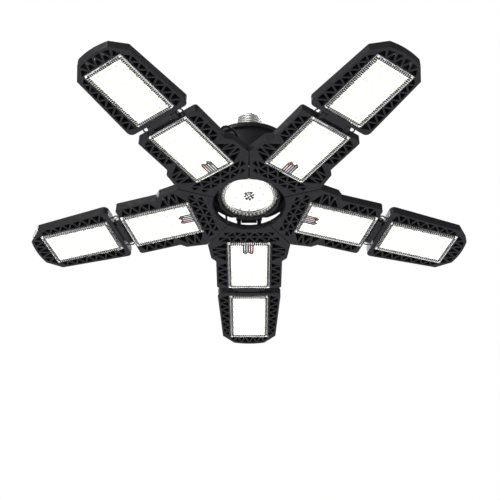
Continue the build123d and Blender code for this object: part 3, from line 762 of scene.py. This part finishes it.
def make_center_cover():
    """Round clear cover: a flat faceted window and a ribbed border."""
    front = level(WINDOW_LEVEL)
    back = level(LAMP_LED_LEVEL + BOARD_THICKNESS)
    profile = [(CENTER_HOLE, front)]
    for ring in range(FACETS):
        profile.append((FACET_START + FACET_PITCH * ring, front + (PRISM_HEIGHT if ring % 2 else 0.0)))
    profile += [
        (WINDOW_RADIUS, front + 0.0006),
        (WINDOW_RADIUS + 0.0014, front),
        (WINDOW_RADIUS + 0.0026, front + 0.0006),
        (WINDOW_RADIUS + 0.0038, front),
        (RING_RADIUS, front + 0.0008),
        (RING_RADIUS, back),
        (RING_RADIUS - CENTER_WALL, back),
        (RING_RADIUS - CENTER_WALL, front + CENTER_WALL),
        (CENTER_HOLE, front + CENTER_WALL),
    ]
    steps = CENTER_RIBS * 2

    def ribs(turn, radius, z):
        if radius < WINDOW_RADIUS or z > back - 0.0001:
            return 0.0
        step = round(turn / (2 * pi) * CENTER_RIBS * 2)
        return -CENTER_RIB_DEPTH if step % 2 else 0.0

    vertices, faces = lathe(profile, steps, ribs)
    last = (len(profile) - 1) * steps
    faces = faces[:-steps]
    faces.append(tuple(reversed(range(steps))))
    faces.append(tuple(range(last, last + steps)))
    piece = mesh_piece("center_ribbed_cover", vertices, faces, CLEAR)
    mount(piece, "hub", ["center_lens"])


RING_STEPS = 120


def make_center_bezel():
    """Black ring that holds the clear cover, with a rounded front edge."""
    front = level(LAMP_FRONT)
    back = level(LAMP_LED_LEVEL + BOARD_THICKNESS)
    inside = RING_RADIUS + 0.0001
    profile = [
        (inside, front + 0.0006),
        (inside + 0.0005, front),
        (LAMP_RADIUS - 0.0007, front),
        (LAMP_RADIUS - 0.0002, front + 0.0002),
        (LAMP_RADIUS, front + 0.0007),
        (LAMP_RADIUS, back),
        (inside, back),
    ]
    vertices, faces = lathe(profile, RING_STEPS)
    mount(mesh_piece("center_bezel", vertices, faces, PLASTIC), "hub")


# Painted shade: a black ring behind the cover's border that darkens it. Painted glints: rows of glowing
# specks on and behind it, for where the ribs catch the light:
# radius, level and number in the row
SHADE_RING_LEVEL = 0.0112
SHADE_RING_THICKNESS = 0.0006
GLINT_ROWS = [
    (0.0244, SHADE_RING_LEVEL, 44),
    (0.0260, SHADE_RING_LEVEL, 44),
    (0.0262, 0.0132, 40),
]
GLINT_SIZE = (0.0010, 0.0015, 0.0004)


def make_border_shade_and_glints():
    """Painted shade and painted glints on the round light's border: a black ring that darkens the ribbed
    border, and glowing specks for where the cover's ribs catch the light.
    """
    front, back = level(SHADE_RING_LEVEL), level(SHADE_RING_LEVEL + SHADE_RING_THICKNESS)
    outside = RING_RADIUS - CENTER_WALL - 0.0001
    profile = [(WINDOW_RADIUS, front), (outside, front), (outside, back), (WINDOW_RADIUS, back)]
    vertices, faces = lathe(profile, RING_STEPS)
    # The black ring is painted shade: it darkens the cover's ribbed border.
    mount(mesh_piece("center_border_painted_shade", vertices, faces, PLASTIC), "hub")
    painted_glints = []
    for row, (radius, height, count) in enumerate(GLINT_ROWS):
        for index in range(count):
            turn = 2 * pi * (index + 0.5 * (row % 2)) / count
            middle = (radius * cos(turn), radius * sin(turn), level(height))
            painted_glints.append(block(middle, GLINT_SIZE, turn))
    vertices, faces = joined(painted_glints)
    # The specks glow: painted glints where the cover's ribs catch the light.
    mount(mesh_piece("center_border_painted_glints", vertices, faces, PAINTED_GLINT), "hub")


TOOTH_PITCH = 0.0021
TOOTH_SIZE = (0.0016, 0.0026, 0.0014)
TOOTH_INSET = 0.0002
TEETH_MARGIN_ALONG = 0.002
TEETH_MARGIN_ACROSS = 0.003


def even_places(start, end, pitch):
    """Places from start to end, evenly spaced by about a pitch."""
    count = round((end - start) / pitch)
    return [start + (end - start) * index / count for index in range(count + 1)]


def make_edge_teeth():
    """The row of small dark teeth along each edge of a board, which hold its cover."""
    wide, long, deep = TOOTH_SIZE
    inset = long / 2 + TOOTH_INSET
    for arm in ARMS:
        for body, (start, end, half) in (("inner", INNER_BOARD), ("outer", OUTER_BOARD)):
            teeth = []
            for x in even_places(start + TEETH_MARGIN_ALONG, end - TEETH_MARGIN_ALONG, TOOTH_PITCH):
                for side in (1, -1):
                    teeth.append(block((x, side * (half - inset), level(0.0)), (wide, long, deep)))
            for y in even_places(TEETH_MARGIN_ACROSS - half, half - TEETH_MARGIN_ACROSS, TOOTH_PITCH):
                for x in (start + inset, end - inset):
                    teeth.append(block((x, y, level(0.0)), (long, wide, deep)))
            vertices, faces = joined(teeth)
            piece = mesh_piece(f"{body}_edge_teeth_{arm}", vertices, faces, PLASTIC)
            on_arm(piece, arm, body)


TERMINAL_MIDDLE = (0.0628, 0.0009)
STUD_PITCH = 0.0024
STUD_SIZE = (0.0023, 0.0016, 0.0010)
STUD_ROWS = range(-2, 3)
# One lead's bent line: place along the arm, place outwards from the terminal's middle, and level
LEAD_ROUTE = [
    (0.0650, 0.0042, -0.0010),
    (0.0685, 0.0046, -0.0010),
    (0.0704, 0.0030, -0.0008),
    (0.0690, 0.0014, -0.0006),
    (0.0675, 0.0016, -0.0004),
]
LEAD_RADIUS = 0.0008
LEAD_SIDES = 8


def make_terminals():
    """The terminal where the supply leads meet an inner board: rows of dark studs and two bent leads."""
    x, y = TERMINAL_MIDDLE
    for arm in ARMS:
        studs = {PLASTIC: [], RED_WIRE: []}
        for i in STUD_ROWS:
            for j in STUD_ROWS:
                material = RED_WIRE if j < 0 and abs(i) < 2 else PLASTIC
                middle = (x + i * STUD_PITCH, y + j * STUD_PITCH, level(0.0))
                studs[material].append(block(middle, STUD_SIZE))
        for material, slot, name in ((PLASTIC, "black_housing", "black"), (RED_WIRE, "wire_sleeve", "red")):
            vertices, faces = joined(studs[material])
            piece = mesh_piece(f"{name}_terminal_studs_{arm}", vertices, faces, material)
            on_arm(piece, arm, "inner")
        for side, material, name in ((-1, RED_WIRE, "red"), (1, WIRE, "black")):
            points = [(along, y + side * outwards, level(height)) for along, outwards, height in LEAD_ROUTE]
            vertices, faces = tube(smooth_path(points, "lead"), LEAD_RADIUS, LEAD_SIDES)
            piece = mesh_piece(f"{name}_lead_{arm}", vertices, faces, material, smooth=True)
            on_arm(piece, arm, "inner")


MARK_SHIFT = 0.0024
MARK_STRETCH = 1.25
# Rings of solder spots: radius, number and size of a spot
MARK_RINGS = ((0.0040, 8, 0.0024), (0.0017, 4, 0.0021))
MARK_TWIST = 150.0
SPOT_DEPTH = 0.0005


def make_center_mark():
    """The leads' hole at the middle of the round board, with its ring of solder spots."""
    spots = []
    for radius, count, size in MARK_RINGS:
        for index in range(count):
            turn = 2 * pi * index / count + radius * MARK_TWIST
            across, up = radius * cos(turn), MARK_SHIFT + MARK_STRETCH * radius * sin(turn)
            middle = (across, up, level(LAMP_LED_LEVEL))
            spots.append(block(middle, (size, size, SPOT_DEPTH), turn))
    vertices, faces = joined(spots)
    mount(mesh_piece("center_solder_spots", vertices, faces, PLASTIC), "hub")


SCREW_CIRCLE = 0.0329
SCREW_HEAD = 0.0016
SCREW_STEPS = 24
SCREW_DOME = [(1.0, 0.0), (1.0, 0.0005), (0.85, 0.0010), (0.55, 0.0012)]
CROSS_DEPTHS = (-0.0012, -0.0006)
CROSS_REACH, CROSS_WAIST = 0.5, 0.18
CARRIER_BOTTOM = 0.0184


def screw_head():
    """A pan head facing down with a cross cut into it."""
    steps = SCREW_STEPS
    turns = [2 * pi * step / steps for step in range(steps)]
    vertices = []
    for share, deep in SCREW_DOME:
        reach = SCREW_HEAD * share
        vertices += [(reach * cos(turn), reach * sin(turn), -deep) for turn in turns]
    for depth in CROSS_DEPTHS:
        for step, turn in enumerate(turns):
            arm = CROSS_REACH if step % 6 == 0 else CROSS_WAIST
            vertices.append((SCREW_HEAD * arm * cos(turn), SCREW_HEAD * arm * sin(turn), depth))
    faces = []
    last = (len(SCREW_DOME) + len(CROSS_DEPTHS) - 1) * steps
    for lower in range(0, last, steps):
        upper = lower + steps
        for step in range(steps):
            nearby = (step + 1) % steps
            faces.append((lower + step, lower + nearby, upper + nearby, upper + step))
    faces += [tuple(range(last, last + steps)), tuple(reversed(range(steps)))]
    return vertices, faces


def make_screws():
    """The screws that hold the hinge carrier to the drum."""
    heads = []
    for arm in ARMS:
        turn = radians(arm_angle(arm) + ARM_PITCH / 2)
        vertices, faces = screw_head()
        shift = Vector((SCREW_CIRCLE * cos(turn), SCREW_CIRCLE * sin(turn), level(CARRIER_BOTTOM)))
        heads.append(([Vector(v) + shift for v in vertices], faces))
    vertices, faces = joined(heads)
    piece = mesh_piece("carrier_screws", vertices, faces, STEEL)
    mount(piece, "hub", ["housing_screws"])


make_camera()
make_studio()
dress_nodes()
make_cables()
make_hinge_wires()
make_strain_reliefs()
make_screw_shell()
make_chips()
make_covers()
make_center_cover()
make_center_bezel()
make_border_shade_and_glints()
make_edge_teeth()
make_terminals()
make_center_mark()
make_screws()
bpy.context.scene.view_settings.view_transform = "Standard"
